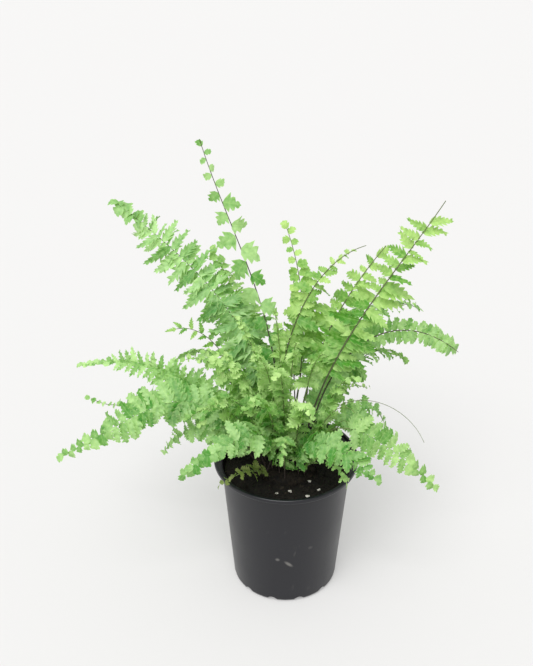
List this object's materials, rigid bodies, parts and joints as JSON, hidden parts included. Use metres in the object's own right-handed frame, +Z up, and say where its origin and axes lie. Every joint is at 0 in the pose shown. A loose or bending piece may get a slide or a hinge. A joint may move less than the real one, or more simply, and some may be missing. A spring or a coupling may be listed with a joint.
{
  "type": "potted fern",
  "caption": "Young fern with arching fronds of lobed, ruffled leaflets on thin wiry stems, growing from dark potting soil in a round black nursery pot with a flared lip",
  "frame": {"origin": "The centre of the pot's flat underside, on the pot's axis", "axes": "+Z runs up the pot's axis and the plant, -Y is the plant's front, and +X is to the right seen from the front"},
  "size_m": [0.323, 0.2222, 0.389],
  "materials": {
    "black_plastic": "satin",
    "potting_soil": "matte",
    "crown": "matte",
    "perlite": "matte",
    "leaf": "satin",
    "stem": "satin"
  },
  "bodies": {
    "root": {"pot": "black_plastic", "soil": "potting_soil", "crown": "crown", "perlite_1": "perlite", "perlite_2": "perlite", "perlite_3": "perlite", "perlite_4": "perlite", "perlite_5": "perlite", "perlite_6": "perlite", "frond_tall_1": "leaf", "frond_tall_2": "leaf", "frond_tall_3": "leaf", "frond_tall_4": "leaf", "frond_tall_5": "leaf", "frond_tall_6": "leaf", "frond_tall_7": "leaf", "frond_arching_1": "leaf", "frond_arching_2": "leaf", "frond_arching_3": "leaf", "frond_arching_4": "leaf", "frond_arching_5": "leaf", "frond_arching_6": "leaf", "frond_arching_7": "leaf", "frond_arching_8": "leaf", "frond_arching_9": "leaf", "frond_arching_10": "leaf", "frond_arching_11": "leaf", "frond_arching_12": "leaf", "frond_inner_1": "leaf", "frond_inner_2": "leaf", "frond_inner_3": "leaf", "frond_inner_4": "leaf", "frond_inner_5": "leaf", "frond_inner_6": "leaf", "frond_inner_7": "leaf", "frond_inner_8": "leaf", "frond_inner_9": "leaf", "frond_inner_10": "leaf", "frond_inner_11": "leaf", "frond_inner_12": "leaf", "frond_inner_13": "leaf", "frond_inner_14": "leaf", "frond_inner_15": "leaf", "frond_inner_16": "leaf", "frond_inner_17": "leaf", "frond_inner_18": "leaf", "frond_back_1": "leaf", "frond_back_2": "leaf", "frond_back_3": "leaf", "frond_back_4": "leaf", "frond_back_5": "leaf", "frond_back_6": "leaf", "frond_back_7": "leaf", "frond_back_8": "leaf", "bare_stem_1": "stem", "bare_stem_2": "stem", "runner": "stem"}
  },
  "joints": []
}
